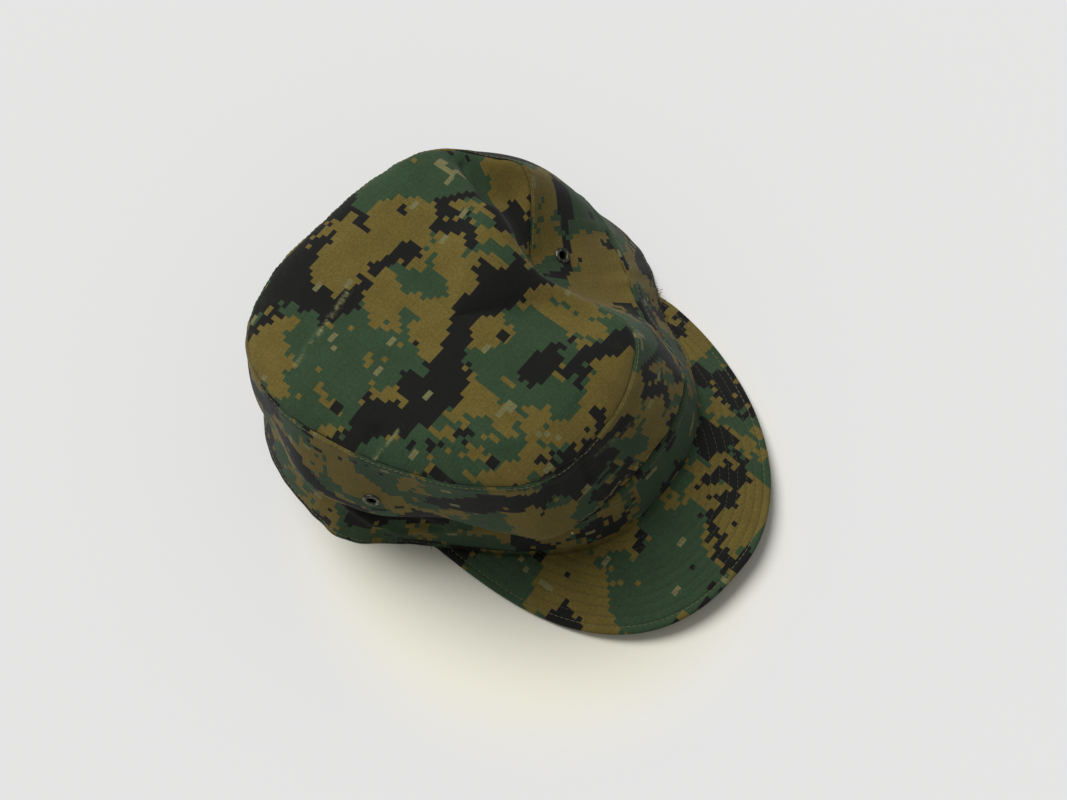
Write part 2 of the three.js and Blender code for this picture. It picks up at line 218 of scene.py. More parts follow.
def grid_normals(grid, closed):
    """Outward unit normals of a grid whose lines run round the cap and whose points run up."""
    if closed:
        along = np.roll(grid, -1, 0) - np.roll(grid, 1, 0)
    else:
        along = np.gradient(grid, axis=0)
    return unit(np.cross(along, np.gradient(grid, axis=1)))


def lengths_up(grid):
    """Distance of each point of a grid from the start of its line."""
    steps = np.linalg.norm(np.diff(grid, axis=1), axis=2)
    return np.concatenate([np.zeros((len(grid), 1)), steps.cumsum(1)], 1)


def lengths_round(line, closed):
    """Distance round a line of points, with one more value where it closes."""
    ends = np.concatenate([line, line[:1]]) if closed else line
    steps = np.linalg.norm(np.diff(ends, axis=0), axis=1)
    return np.concatenate([[0], steps.cumsum()])


WAVE_STRETCH = (0.7, 1.5)


def waves(place, length, count):
    """Smooth waves along a place in mm, of about one length, that are the same on each run."""
    total = np.zeros_like(place, dtype=float)
    for _ in range(count):
        stretch = random.uniform(*WAVE_STRETCH)
        total += np.sin(2 * np.pi * (place / (length * stretch) + random.uniform()))
    return total / math.sqrt(count)


def bump_at(distance, width):
    return np.exp(-(distance / width) ** 2)


# Meshes

def cloth_object(name, outer, inner, cloth, materials, closed, hub=False, wear_and_highlight=None):
    """A shell of cloth between two grids of points. cloth gives each point's place on the
    flat cloth, with one more line where the grid closes. Outer faces take the first material."""
    rows, columns = outer.shape[:2]
    points = np.concatenate([outer.reshape(-1, 3), inner.reshape(-1, 3)])
    number = np.arange(rows * columns).reshape(rows, columns)
    if closed:
        number = np.concatenate([number, number[:1]])
    lift = rows * columns
    a, b = number[:-1, :-1], number[1:, :-1]
    c, d = number[1:, 1:], number[:-1, 1:]
    if hub:
        points[number[:, -1]] = outer[0, -1]
        points[number[:, -1] + lift] = inner[0, -1]
    quads = np.stack([a, b, c, d], -1).reshape(-1, 4)
    backs = np.stack([a, d, c, b], -1).reshape(-1, 4) + lift
    ends = [(number[:, 0], cloth[:, 0], 1)]
    if not hub:
        ends.append((number[:, -1], cloth[:, -1], -1))
    if not closed:
        ends += [(number[0], cloth[0], -1), (number[-1], cloth[-1], 1)]
    edge_faces, edge_cloth = [], []
    for line, place, turned in ends:
        face = np.stack([line[:-1], line[:-1] + lift, line[1:] + lift, line[1:]], -1)
        at = np.stack([place[:-1], place[:-1], place[1:], place[1:]], 1)
        edge_faces.append(face[:, ::turned])
        edge_cloth.append(at[:, ::turned])
    corner = [cloth[:-1, :-1], cloth[1:, :-1], cloth[1:, 1:], cloth[:-1, 1:]]
    front_uv = np.stack(corner, 2).reshape(-1, 4, 2)
    back_uv = np.stack([corner[0], corner[3], corner[2], corner[1]], 2).reshape(-1, 4, 2)
    faces = np.concatenate([quads, backs, *edge_faces])
    uv = np.concatenate([front_uv, back_uv, *edge_cloth])
    slots = np.zeros(len(faces), int)
    slots[len(quads):2 * len(quads)] = len(materials) - 1
    wear_and_highlight = np.zeros((rows, columns)) if wear_and_highlight is None else wear_and_highlight
    return mesh_object(name, points, faces, materials, slots, uv,
                       np.concatenate([wear_and_highlight.ravel(), wear_and_highlight.ravel()]))


def mesh_object(name, points, faces, materials, slots=None, uv=None, wear_and_highlight=None):
    """An object from points in mm from the middle of the head opening."""
    mesh = bpy.data.meshes.new(name)
    mesh.from_pydata(((points + OUTLINE_SHIFT) * MM).tolist(), [], faces.tolist())
    for material in materials:
        mesh.materials.append(material)
    if slots is not None:
        mesh.polygons.foreach_set("material_index", slots.astype(np.int32))
    if uv is not None:
        layer = mesh.uv_layers.new(name="cloth")
        layer.data.foreach_set("uv", (uv.reshape(-1, 2) * MM).astype(np.float32).ravel())
    if wear_and_highlight is not None:
        attribute = mesh.attributes.new("wear_and_highlight", "FLOAT", "POINT")
        attribute.data.foreach_set("value", wear_and_highlight.astype(np.float32))
    mesh.validate()
    clean_mesh(mesh)
    mesh.shade_smooth()
    obj = bpy.data.objects.new(name, mesh)
    bpy.context.scene.collection.objects.link(obj)
    return obj


def clean_mesh(mesh):
    """Joins points that share a place, such as those of a hub, and drops faces without area."""
    work = bmesh.new()
    work.from_mesh(mesh)
    bmesh.ops.remove_doubles(work, verts=work.verts, dist=1e-6)
    bmesh.ops.dissolve_degenerate(work, edges=work.edges, dist=1e-7)
    work.to_mesh(mesh)
    work.free()


def dress(obj, slot, *nodes):
    """Puts a piece on the cap's one body, in place of the solids that it stands for."""
    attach(obj, "root")
    if nodes:
        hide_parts(*nodes)
    return obj


# Node materials

def feed(tree, socket, value):
    """Gives a socket a value, or links it to another node's output."""
    if isinstance(value, bpy.types.NodeSocket):
        tree.links.new(value, socket)
    else:
        socket.default_value = value


def add_node(tree, kind, settings=None, **inputs):
    """A node with its settings and inputs. An input named i0, i1 and so on goes by its number."""
    node = tree.nodes.new(kind)
    for key, value in (settings or {}).items():
        setattr(node, key, value)
    for key, value in inputs.items():
        numbered = key[0] == "i" and key[1:].isdigit()
        feed(tree, node.inputs[int(key[1:]) if numbered else key], value)
    return node


def maths(tree, operation, *values):
    inputs = {f"i{k}": value for k, value in enumerate(values)}
    return add_node(tree, "ShaderNodeMath", {"operation": operation}, **inputs).outputs[0]


def vector_maths(tree, operation, *values):
    inputs = {f"i{k}": value for k, value in enumerate(values)}
    return add_node(tree, "ShaderNodeVectorMath", {"operation": operation}, **inputs).outputs[0]


# Sockets of a mix node that mixes colours: its factor and two colours, and its result
MIX_COLOUR_INPUTS = (0, 6, 7)
MIX_COLOUR_OUTPUT = 2


def mix_colour(tree, factor, first, second):
    node = add_node(tree, "ShaderNodeMix", {"data_type": "RGBA"})
    for number, value in zip(MIX_COLOUR_INPUTS, (factor, first, second)):
        feed(tree, node.inputs[number], value)
    return node.outputs[MIX_COLOUR_OUTPUT]


def map_range(tree, value, low=0.0, high=1.0, to_low=0.0, to_high=1.0, smooth=False):
    """A value between low and high, moved to between to_low and to_high."""
    kind = "SMOOTHSTEP" if smooth else "LINEAR"
    limits = {"From Min": low, "From Max": high, "To Min": to_low, "To Max": to_high}
    return add_node(tree, "ShaderNodeMapRange", {"interpolation_type": kind},
                    Value=value, **limits).outputs["Result"]


def new_material(name):
    """A node material with its tree and its shader."""
    material = bpy.data.materials.new(name)
    material.use_nodes = True
    tree = material.node_tree
    return material, tree, tree.nodes["Principled BSDF"]


def noise(tree, place, scale, detail=2.0, roughness=0.5, distortion=0.0):
    node = add_node(tree, "ShaderNodeTexNoise", {"noise_dimensions": "2D"}, Vector=place,
                    Scale=scale, Detail=detail, Roughness=roughness, Distortion=distortion)
    return node.outputs["Fac"]


def rgb(red, green, blue):
    """A colour of the screen, 0 to 255, as the renderer's linear colour."""
    def linear(value):
        value = value / 255
        return value / 12.92 if value <= 0.04045 else ((value + 0.055) / 1.055) ** 2.4
    return (linear(red), linear(green), linear(blue), 1)


BROWN = rgb(101, 88, 41)
GREEN = rgb(49, 69, 47)
BLACK = rgb(24, 24, 23)
KHAKI = rgb(108, 106, 71)
# pale of worn cloth, also used as painted highlight on fold crests and fold edges
PALE_WEAR_AND_HIGHLIGHT = rgb(142, 142, 98)
THREAD = rgb(124, 120, 80)
VISOR_THREAD = rgb(64, 67, 46)
PALE_THREAD = rgb(190, 184, 150)
DARK_THREAD = rgb(50, 52, 37)
BLACKENED = rgb(58, 60, 52)
RUBBED_METAL = rgb(118, 118, 104)
REVERSE = rgb(84, 80, 52)
REVERSE_SHARE = 0.72       # how far the reverse hides the print

PIXEL = 2.3 * MM           # one square of the camouflage
RIPSTOP = 3.6 * MM         # between two strong threads of the cloth
WEAVE = 0.55 * MM          # between two plain threads
# A ripstop line fades from its core to its edge, both shares of RIPSTOP from its middle
RIPSTOP_CORE = 0.03
RIPSTOP_EDGE = 0.09
RIPSTOP_SHADE = 0.06       # how much darker a ripstop line is
# How much each part of the weave adds to the relief, and the height of the relief
RIPSTOP_RELIEF = 0.3
WEAVE_RELIEF = 0.3
FLUFF_RELIEF = 0.8
CLOTH_RELIEF = 0.15 * MM
THREAD_RELIEF = 0.05 * MM


def camouflage(tree, place):
    """Colours in stepped patches, chosen for one square of cloth at a time."""
    def squares(width, height, shift):
        scaled = vector_maths(tree, "DIVIDE", place, (PIXEL * width, PIXEL * height, 1))
        moved = vector_maths(tree, "ADD", scaled, (shift, shift * 0.37, 0))
        return vector_maths(tree, "FLOOR", moved)

    single = squares(1, 1, 0.0)

    def patch(shift, stretch, scale, limit, fray):
        """1 in patches of about one size, whose edges are frayed by single squares."""
        at = vector_maths(tree, "ADD", vector_maths(tree, "MULTIPLY", single, stretch), shift)
        field = noise(tree, at, scale, detail=3.0, roughness=0.55, distortion=0.5)
        speck = add_node(tree, "ShaderNodeTexWhiteNoise", {"noise_dimensions": "2D"},
                         Vector=vector_maths(tree, "ADD", single, shift)).outputs["Value"]
        rough = maths(tree, "MULTIPLY", maths(tree, "SUBTRACT", speck, 0.5), fray)
        return maths(tree, "GREATER_THAN", maths(tree, "ADD", field, rough), limit)

    def bars(width, height, shift, share):
        """Short bars, a share of all the places where one could be."""
        cell = squares(width, height, shift)
        speck = add_node(tree, "ShaderNodeTexWhiteNoise", {"noise_dimensions": "2D"},
                         Vector=cell).outputs["Value"]
        return maths(tree, "LESS_THAN", speck, share)

    green = patch(shift=(11.3, 4.1, 0), stretch=(1.0, 0.72, 1), scale=0.070, limit=0.520, fray=0.05)
    black = patch(shift=(41.7, 23.9, 0), stretch=(0.72, 1.15, 1), scale=0.078, limit=0.560, fray=0.05)
    khaki = patch(shift=(71.1, 55.3, 0), stretch=(1.5, 0.7, 1), scale=0.12, limit=0.73, fray=0.03)
    colour = mix_colour(tree, green, BROWN, GREEN)
    colour = mix_colour(tree, bars(1, 3, shift=5.0, share=0.006), colour, BROWN)
    colour = mix_colour(tree, khaki, colour, KHAKI)
    colour = mix_colour(tree, black, colour, BLACK)
    colour = mix_colour(tree, bars(2, 1, shift=9.0, share=0.008), colour, KHAKI)
    colour = mix_colour(tree, bars(1, 1, shift=29.0, share=0.004), colour, BROWN)
    return mix_colour(tree, bars(2, 2, shift=17.0, share=0.007), colour, BLACK)


def cloth_material(name, reverse=False):
    """Printed ripstop cloth. Its reverse shows the print only faintly."""
    material, tree, shader = new_material(name)
    place = add_node(tree, "ShaderNodeUVMap", {"uv_map": "cloth"}).outputs[0]
    colour = camouflage(tree, place)
    if reverse:
        colour = mix_colour(tree, REVERSE_SHARE, colour, REVERSE)
    wear_and_highlight = add_node(tree, "ShaderNodeAttribute", {"attribute_name": "wear_and_highlight"}).outputs["Fac"]
    fluff = noise(tree, place, scale=900, detail=4.0, roughness=0.7)
    patches = noise(tree, place, scale=260, detail=3.0, roughness=0.6)
    patchy_mask = map_range(tree, patches, low=0.38, high=0.62, smooth=True)
    # Paler where the attribute is high: real wear on the top's streaks, and painted highlight along fold
    # crests and the wall's fold edges.
    colour = mix_colour(tree, maths(tree, "MULTIPLY", wear_and_highlight, patchy_mask), colour, PALE_WEAR_AND_HIGHLIGHT)
    mottle = map_range(tree, fluff, low=0.3, high=0.7, to_low=0.8, to_high=1.2)
    faded = noise(tree, place, scale=70, detail=4.0, roughness=0.65)
    fade = map_range(tree, faded, to_low=0.78, to_high=1.22)

    # Plain weave of fine threads, with a stronger thread at each ripstop line
    part = add_node(tree, "ShaderNodeSeparateXYZ", None, Vector=place)
    ripstop, threads = [], []
    for axis in ("X", "Y"):
        across = maths(tree, "DIVIDE", part.outputs[axis], RIPSTOP)
        off = maths(tree, "ABSOLUTE", maths(tree, "SUBTRACT", maths(tree, "FRACT", across), 0.5))
        ripstop.append(map_range(tree, off, low=RIPSTOP_EDGE, high=RIPSTOP_CORE, smooth=True))
        turn = maths(tree, "MULTIPLY", part.outputs[axis], 2 * math.pi / WEAVE)
        threads.append(maths(tree, "SINE", turn))
    grid_lines = maths(tree, "MAXIMUM", ripstop[0], ripstop[1])
    weave = maths(tree, "MULTIPLY", threads[0], threads[1])
    line_shade = maths(tree, "SUBTRACT", 1.0, maths(tree, "MULTIPLY", grid_lines, RIPSTOP_SHADE))
    shade = maths(tree, "MULTIPLY", maths(tree, "MULTIPLY", mottle, fade), line_shade)
    shaded = add_node(tree, "ShaderNodeVectorMath", {"operation": "SCALE"}, i0=colour, Scale=shade)
    tree.links.new(shaded.outputs[0], shader.inputs["Base Color"])
    height = maths(tree, "MULTIPLY", grid_lines, RIPSTOP_RELIEF)
    fine = maths(tree, "ADD", maths(tree, "MULTIPLY", weave, WEAVE_RELIEF),
                 maths(tree, "MULTIPLY", fluff, FLUFF_RELIEF))
    bump = add_node(tree, "ShaderNodeBump", None, Height=maths(tree, "ADD", height, fine),
                    Strength=0.5, Distance=CLOTH_RELIEF)
    tree.links.new(bump.outputs[0], shader.inputs["Normal"])
    roughness = map_range(tree, fluff, to_low=0.78, to_high=0.95)
    tree.links.new(roughness, shader.inputs["Roughness"])
    shader.inputs["Specular IOR Level"].default_value = 0.15
    shader.inputs["Sheen Weight"].default_value = 0.05
    shader.inputs["Sheen Roughness"].default_value = 0.5
    return material


def object_noise(tree, place, scale, detail):
    """Noise in all three directions, for pieces that have no flat cloth."""
    return add_node(tree, "ShaderNodeTexNoise", None, Vector=place, Scale=scale,
                    Detail=detail).outputs["Fac"]


def thread_material(name, colour, share):
    """Twisted thread whose colour varies along the seams, down to a share of its brightness."""
    material, tree, shader = new_material(name)
    place = add_node(tree, "ShaderNodeTexCoord").outputs["Object"]
    spots = object_noise(tree, place, scale=160.0, detail=2.0)
    twist = object_noise(tree, place, scale=2500.0, detail=1.0)
    dark = tuple(v * share for v in colour[:3]) + (1,)
    tree.links.new(mix_colour(tree, spots, dark, colour), shader.inputs["Base Color"])
    bump = add_node(tree, "ShaderNodeBump", None, Height=twist, Strength=0.6, Distance=THREAD_RELIEF)
    tree.links.new(bump.outputs[0], shader.inputs["Normal"])
    shader.inputs["Roughness"].default_value = 0.7
    shader.inputs["Sheen Weight"].default_value = 0.1
    return material


def metal_material(name):
    """Blackened metal, rubbed bright in small spots."""
    material, tree, shader = new_material(name)
    place = add_node(tree, "ShaderNodeTexCoord").outputs["Object"]
    patchy_mask = object_noise(tree, place, scale=700.0, detail=3.0)
    amount = map_range(tree, patchy_mask, low=0.45, high=0.7)
    tree.links.new(mix_colour(tree, amount, BLACKENED, RUBBED_METAL), shader.inputs["Base Color"])
    rough = map_range(tree, patchy_mask, to_low=0.55, to_high=0.3)
    tree.links.new(rough, shader.inputs["Roughness"])
    shader.inputs["Metallic"].default_value = 0.8
    return material


printed = cloth_material("camouflage_cloth")
reverse = cloth_material("cloth_reverse", reverse=True)
thread = thread_material("seam_thread", THREAD, share=0.45)
visor_thread = thread_material("visor_thread", VISOR_THREAD, share=0.6)
pale_thread = thread_material("pale_thread", PALE_THREAD, share=0.7)
dark_thread = thread_material("dark_thread", DARK_THREAD, share=0.8)
blackened = metal_material("eyelet_metal")

# Grids of the band, the side wall and the top, before their small folds
turns = np.arange(TURN_STEPS) * 360 / TURN_STEPS
hem, tuck = hem_point(turns), ring_point("tuck", turns)
belly, seam = ring_point("belly", turns), ring_point("seam", turns)
share_up = np.linspace(0, 1, BAND_STEPS + 1)[None, :, None]
band_grid = hem[:, None] * (1 - share_up) + tuck[:, None] * share_up
wall_grid = section_curve([tuck, belly, seam], WALL_STEPS)
hub = np.repeat(CROWN_MIDDLE[None], TURN_STEPS, 0)


FALL_SHARE = 0.22          # of the way from the ridge to the valley
FALL_STEEPNESS = 0.38      # how much more of the drop is done there
SHALLOW_TROUGH = 5         # depth in mm at which the steeper fall begins
DEEP_TROUGH = 16           # and at which it is full


def fall_point(valley, ridge):
    """A place just behind the ridge, far down where the trough behind it is deep."""
    drop = ridge[:, 2] - valley[:, 2]
    steep = np.clip((drop - SHALLOW_TROUGH) / (DEEP_TROUGH - SHALLOW_TROUGH), 0, 1)
    p = ridge + (valley - ridge) * FALL_SHARE
    p[:, 2] -= drop * FALL_STEEPNESS * steep
    return p


valley, ridge = top_point(turns, "valley"), top_point(turns, "ridge")
top_grid = section_curve([seam, valley, fall_point(valley, ridge), ridge, hub], TOP_STEPS)

band_normals = grid_normals(band_grid, True)
wall_normals = grid_normals(wall_grid, True)
top_normals = grid_normals(top_grid, True)
top_normals[:, -1] = (0, 0, 1)
tuck_normals = unit(band_normals[:, -1] + wall_normals[:, 0])
seam_normals = unit(wall_normals[:, -1] + top_normals[:, 0])
band_normals[:, 0] = unit(band_normals[:, 0] * (1, 1, 0))

CLOTH = 1.1                # thickness of the dressed cloth, mm
DOUBLED_CLOTH = 2.0        # thickness of the dressed band, mm
EASED_STEPS = 5            # of the grid beside a seam, over which two cloths share their normals


def ease_normals(normals, edge, at_start, steps=EASED_STEPS):
    """Turns the normals near an edge towards those that the next cloth shares with it."""
    for k in range(steps):
        index = k if at_start else -1 - k
        share = (1 - k / steps) ** 2
        normals[:, index] = unit(normals[:, index] * (1 - share) + edge * share)


ease_normals(wall_normals, tuck_normals, True)
ease_normals(wall_normals, seam_normals, False)
ease_normals(top_normals, seam_normals, True)
ease_normals(band_normals, tuck_normals, False)


# Where the band and the peak lie on the printed cloth, mm, so that they don't share its patches
BAND_PLACE = (700, 90)
VISOR_PLACE = (230, 410)


def closed_cloth(round_lengths, up_lengths):
    """Places on the flat cloth of a ring of cloth."""
    up = np.concatenate([up_lengths, up_lengths[:1]])
    return np.stack([np.repeat(round_lengths[:, None], up.shape[1], 1), up], -1)


# Top panel: its flat place is its distance from the middle, at its turn
top_from_seam = lengths_up(top_grid)
top_reach = top_from_seam[:, -1:] - top_from_seam
turns_closed = np.radians(np.append(turns, 360.0))[:, None]
reach_closed = np.concatenate([top_reach, top_reach[:1]])
top_cloth = np.stack([reach_closed * np.sin(turns_closed), -reach_closed * np.cos(turns_closed)], -1)
wall_up = lengths_up(wall_grid)
wall_down = wall_up[:, -1:] - wall_up
wall_cloth = closed_cloth(lengths_round(belly, True), wall_up)
band_up = lengths_up(band_grid)
band_cloth = closed_cloth(lengths_round(hem, True) + BAND_PLACE[0], band_up + BAND_PLACE[1])

seam_round = lengths_round(seam, True)[:-1, None]
tuck_round = lengths_round(tuck, True)[:-1, None]
hem_round = lengths_round(hem, True)[:-1, None]


def puckers(place, distance, length, count, height, reach):
    """Small waves along a seam that die out away from it, all in mm."""
    return waves(place, length, count) * height * np.exp(-distance / reach)


top_puckers = puckers(seam_round, top_from_seam, length=11, count=6, height=0.12, reach=7)
wall_puckers = puckers(seam_round, wall_down, length=10, count=6, height=0.14, reach=8)
wall_puckers += puckers(tuck_round, wall_up, length=13, count=6, height=0.35, reach=10)
BAND_PUCKER_HEIGHT = 0.15
band_puckers = waves(hem_round, length=12, count=5) * BAND_PUCKER_HEIGHT


# Low relief in mm: how far it stands out, negative where it goes in, and its width
SEAM_RELIEF = (-0.75, 0.9)
STITCH_RELIEF = (-0.2, 0.7)
WALL_TURN_RELIEF = (-1.0, 1.2)     # where the wall turns in over the band
WALL_ROLL_RELIEF = (0.45, 1.0)
WALL_ROLL_PLACE = 2.6
BAND_TURN_RELIEF = (-1.1, 1.6)
HEM_ROLL_RELIEF = (0.3, 0.8)
HEM_ROLL_PLACE = 0.7
VISOR_EDGE_RELIEF = (-0.42, 0.75)
VISOR_ROW_RELIEF = (-0.2, 0.75)
VISOR_SEAM_RELIEF = (-1.0, 1.0)
VISOR_SEAM_PLACE = 0.4             # past the part that is sewn in


def relief(distance, shape):
    """Relief of one shape at a distance from its middle."""
    out, width = shape
    return out * bump_at(distance, width)


# Creases and dents that the cloth keeps, each from one place to another: turn and share of the way up
# the cloth, then its width and how far it stands out in mm, and how pale it is: worn on the top's
# streaks, and on the wall's folds worn and painted highlight in one
CREASE_COLUMNS = ("cloth", "turn", "up", "toTurn", "toUp", "width", "out", "wear_and_highlight")
CREASES = (
    ("top", 239, 0.18, 203, 0.45, 1.1, 0.45, 0.8),
    ("top", 283, 0.01, 287, 0.23, 0.9, 0.35, 0.8),
    ("top", 262, 0.05, 263, 0.08, 5.0, -0.9, 0.0),
    ("top", 279, 0.12, 280, 0.16, 4.5, -0.8, 0.0),
    ("top", 127, 0.08, 118, 0.35, 1.6, -1.2, 0.0),
    ("wall", -5, 0.83, 10.5, 0.69, 1.3, 0.5, 0.25),
    ("wall", 350, 0.93, 347, 0.60, 2.4, -1.1, 0.0),
    ("wall", 339, 0.96, 336, 0.66, 2.6, -1.1, 0.0),
    ("wall", 354, 0.96, 352, 0.75, 2.0, 0.4, 0.0),
    ("band", 256, 0.75, 274, 0.30, 2.6, 1.6, 0.0),
    ("band", 262, 0.80, 284, 0.50, 2.4, -1.6, 0.0),
    ("band", 270, 0.28, 300, 0.62, 2.2, 1.0, 0.0),
    # The next three rows paint pale lines along the wall's fold edges: part wear, part painted
    # highlight.
    ("wall", 262, 0.24, 322, 0.18, 0.9, 0.2, 0.2),
    ("wall", 333, 0.05, 351, 0.15, 0.5, 0.3, 0.7),
    ("wall", -9, 0.15, 5, 0.02, 0.5, 0.3, 0.7),
)
CREASE_STEPS = 24
PALE_LINE_WIDTH = 0.8           # of a crease's pale line, worn and on the wall also painted highlight, a share of the crease's width


def crease_sums(cloth, grid):
    """How far the creases of one cloth push it out, and how much paler they make it: wear, and on the
    wall's folds painted highlight too.
    """
    out, wear_and_highlight = np.zeros(grid.shape[:2]), np.zeros(grid.shape[:2])
    share = np.linspace(0, 1, CREASE_STEPS)
    for values in CREASES:
        row = dict(zip(CREASE_COLUMNS, values))
        if row["cloth"] != cloth:
            continue
        turn = row["turn"] + (row["toTurn"] - row["turn"]) * share
        up = (row["up"] + (row["toUp"] - row["up"]) * share) * (grid.shape[1] - 1)
        columns = np.round(turn / 360 * TURN_STEPS).astype(int) % TURN_STEPS
        line = grid[columns, np.round(up).astype(int)]
        if cloth == "top":
            line = line[0] + (line[-1] - line[0]) * share[:, None]
        away = np.min(np.linalg.norm(grid[:, :, None] - line[None, None], axis=-1), axis=2)
        out += row["out"] * bump_at(away, row["width"])
        wear_and_highlight += row["wear_and_highlight"] * bump_at(away, row["width"] * PALE_LINE_WIDTH)
    return out, wear_and_highlight


top_creases, top_crease_wear = crease_sums("top", top_grid)
wall_creases, wall_crease_wear_and_highlight = crease_sums("wall", wall_grid)
band_creases, band_crease_wear = crease_sums("band", band_grid)


POCKET_TURN = 282
POCKET_SPREAD = 32
POCKET_EDGE = 4            # a higher power gives the pocket steeper ends
POCKET_DEPTH = 6.0
POCKET_REACH = 9.0


def pocket(distance):
    """Cloth drawn in under the wearer's right side of the wall, where it hangs over the band."""
    swell = np.exp(-np.abs(from_turn(turns, POCKET_TURN) / POCKET_SPREAD) ** POCKET_EDGE)[:, None]
    return -POCKET_DEPTH * swell * np.exp(-distance / POCKET_REACH)


# Places in mm from an edge of the cloth: rows of stitching, and where the seam allowance ends
SEAM_ROW = 1.3
BAND_ROW = 5.0
HEM_ROW = 1.9
ALLOWANCE = 5.5
ALLOWANCE_HEIGHT = 0.35
ALLOWANCE_EDGE = 0.35
band_down = band_up[:, -1:] - band_up
top_out = top_puckers + relief(top_from_seam, SEAM_RELIEF) + top_creases
wall_out = (wall_puckers + relief(wall_down, SEAM_RELIEF)
            + relief(wall_down - SEAM_ROW, STITCH_RELIEF) + wall_creases)
wall_out += ALLOWANCE_HEIGHT / (1 + np.exp((wall_down - ALLOWANCE) / ALLOWANCE_EDGE))
wall_out += (relief(wall_up, WALL_TURN_RELIEF)
             + relief(wall_up - WALL_ROLL_PLACE, WALL_ROLL_RELIEF) + pocket(wall_up))
band_out = (band_puckers + relief(band_down - BAND_ROW, STITCH_RELIEF)
            + relief(band_down, BAND_TURN_RELIEF))
band_out += band_creases + pocket(band_down)
band_out += (relief(band_up - HEM_ROW, STITCH_RELIEF)
             + relief(band_up - HEM_ROLL_PLACE, HEM_ROLL_RELIEF))


def layers(grid, normals, half, out, thickness):
    """The outer and the inner face of a cloth whose middle is a grid."""
    outer = grid + normals * (half + out)[..., None]
    return outer, outer - normals * thickness


top_outer, top_inner = layers(top_grid, top_normals, WALL_THICKNESS / 2, top_out, CLOTH)
wall_outer, wall_inner = layers(wall_grid, wall_normals, WALL_THICKNESS / 2, wall_out, CLOTH)
band_outer, band_inner = layers(band_grid, band_normals, BAND_THICKNESS / 2, band_out,
                                DOUBLED_CLOTH)
for sheet in (band_outer, band_inner):
    sheet[..., 2] = np.maximum(sheet[..., 2], 0)


RIDGE_WEAR_AND_HIGHLIGHT = 0.25          # for each mm that a pucker stands out
MOST_RIDGE_WEAR_AND_HIGHLIGHT = 0.15


def crest_wear_and_highlight(out):
    """Cloth paler where it stands out: rubbed, and a painted highlight on its crests."""
    return np.clip(out * RIDGE_WEAR_AND_HIGHLIGHT, 0, MOST_RIDGE_WEAR_AND_HIGHLIGHT)


top = cloth_object("crown_top", top_outer, top_inner, top_cloth, [printed, reverse], True,
                   hub=True, wear_and_highlight=crest_wear_and_highlight(top_puckers) + top_crease_wear)
wall = cloth_object("crown_side", wall_outer, wall_inner, wall_cloth, [printed, reverse], True,
                    wear_and_highlight=crest_wear_and_highlight(wall_puckers) + wall_crease_wear_and_highlight)
band = cloth_object("head_band", band_outer, band_inner, band_cloth, [printed, reverse], True,
                    wear_and_highlight=band_crease_wear)
dress(top, "camouflage_cloth", "top_panel")
dress(wall, "camouflage_cloth", "side_wall")
dress(band, "camouflage_cloth", "band")


# Visor

def visor_edge(sweep):
    """Places on the peak's outline: sweep is 0 at the tip and grows to the wearer's left."""
    a = np.radians(sweep)
    power = 2 / np.where(sweep < 0, VISOR_SQUARENESS["right"], VISOR_SQUARENESS["left"])
    side = np.sign(np.sin(a)) * np.abs(np.sin(a)) ** power
    front = np.cos(a)
    ahead = np.where(front > 0, VISOR_LENGTH * np.maximum(front, 0) ** power, VISOR_BACK_STRETCH * front)
    lift = VISOR_TIP_LIFT * np.maximum(0, np.cos(sweep / VISOR_LIFT_SWEEP * np.pi / 2))
    return np.stack([VISOR_MIDDLE + VISOR_HALF_WIDTH * side, VISOR_WIDEST_LINE - ahead,
                     VISOR_THICKNESS / 2 + lift], -1)


VISOR_SEWN_IN = 1.1        # how far the peak's inner edge lies under the band
TAPER_TURN = 6             # degrees over which the peak thins out towards each corner
TAPER_LEAST = 0.06
VISOR_CROWDING = 1.15      # above 1, the steps of the grid are closer at the peak's outer edge
visor_share = np.linspace(-1, 1, VISOR_TURNS)
visor_turn = visor_share * VISOR_CORNER_TURN
front_hem, front_tuck = hem_point(visor_turn), ring_point("tuck", visor_turn)
outward = unit(np.cross(np.gradient(front_hem, axis=0), front_tuck - front_hem) * (1, 1, 0))
visor_inner = front_hem + outward * (BAND_THICKNESS / 2 - VISOR_SEWN_IN)
visor_taper = np.sqrt(np.clip((VISOR_CORNER_TURN - np.abs(visor_turn)) / TAPER_TURN, TAPER_LEAST, 1))
visor_inner[:, 2] += VISOR_THICKNESS / 2 * visor_taper
visor_outer = visor_edge(visor_share * VISOR_CORNER_SWEEP)
reach = ((visor_outer - visor_inner) * outward).sum(1, keepdims=True)
visor_outer = visor_outer + outward * np.maximum(0, VISOR_CORNER_WIDTH - reach)
visor_outer[:, 2] -= VISOR_THICKNESS / 2 * (1 - visor_taper)
visor_step = (np.linspace(0, 1, VISOR_STEPS + 1) ** VISOR_CROWDING)[None, :, None]
visor_grid = visor_outer[:, None] * (1 - visor_step) + visor_inner[:, None] * visor_step
visor_normals = grid_normals(visor_grid, False)


def distance_to(points, line):
    """Level distance from each point of a grid to a line of points."""
    a, b = line[:-1, :2], line[1:, :2]
    along = b - a
    best = np.full(points.shape[:2], np.inf)
    for start, step in zip(a, along):
        away = points[..., :2] - start
        t = np.clip((away @ step) / max(step @ step, 1e-9), 0, 1)
        best = np.minimum(best, np.linalg.norm(away - t[..., None] * step, axis=-1))
    return best


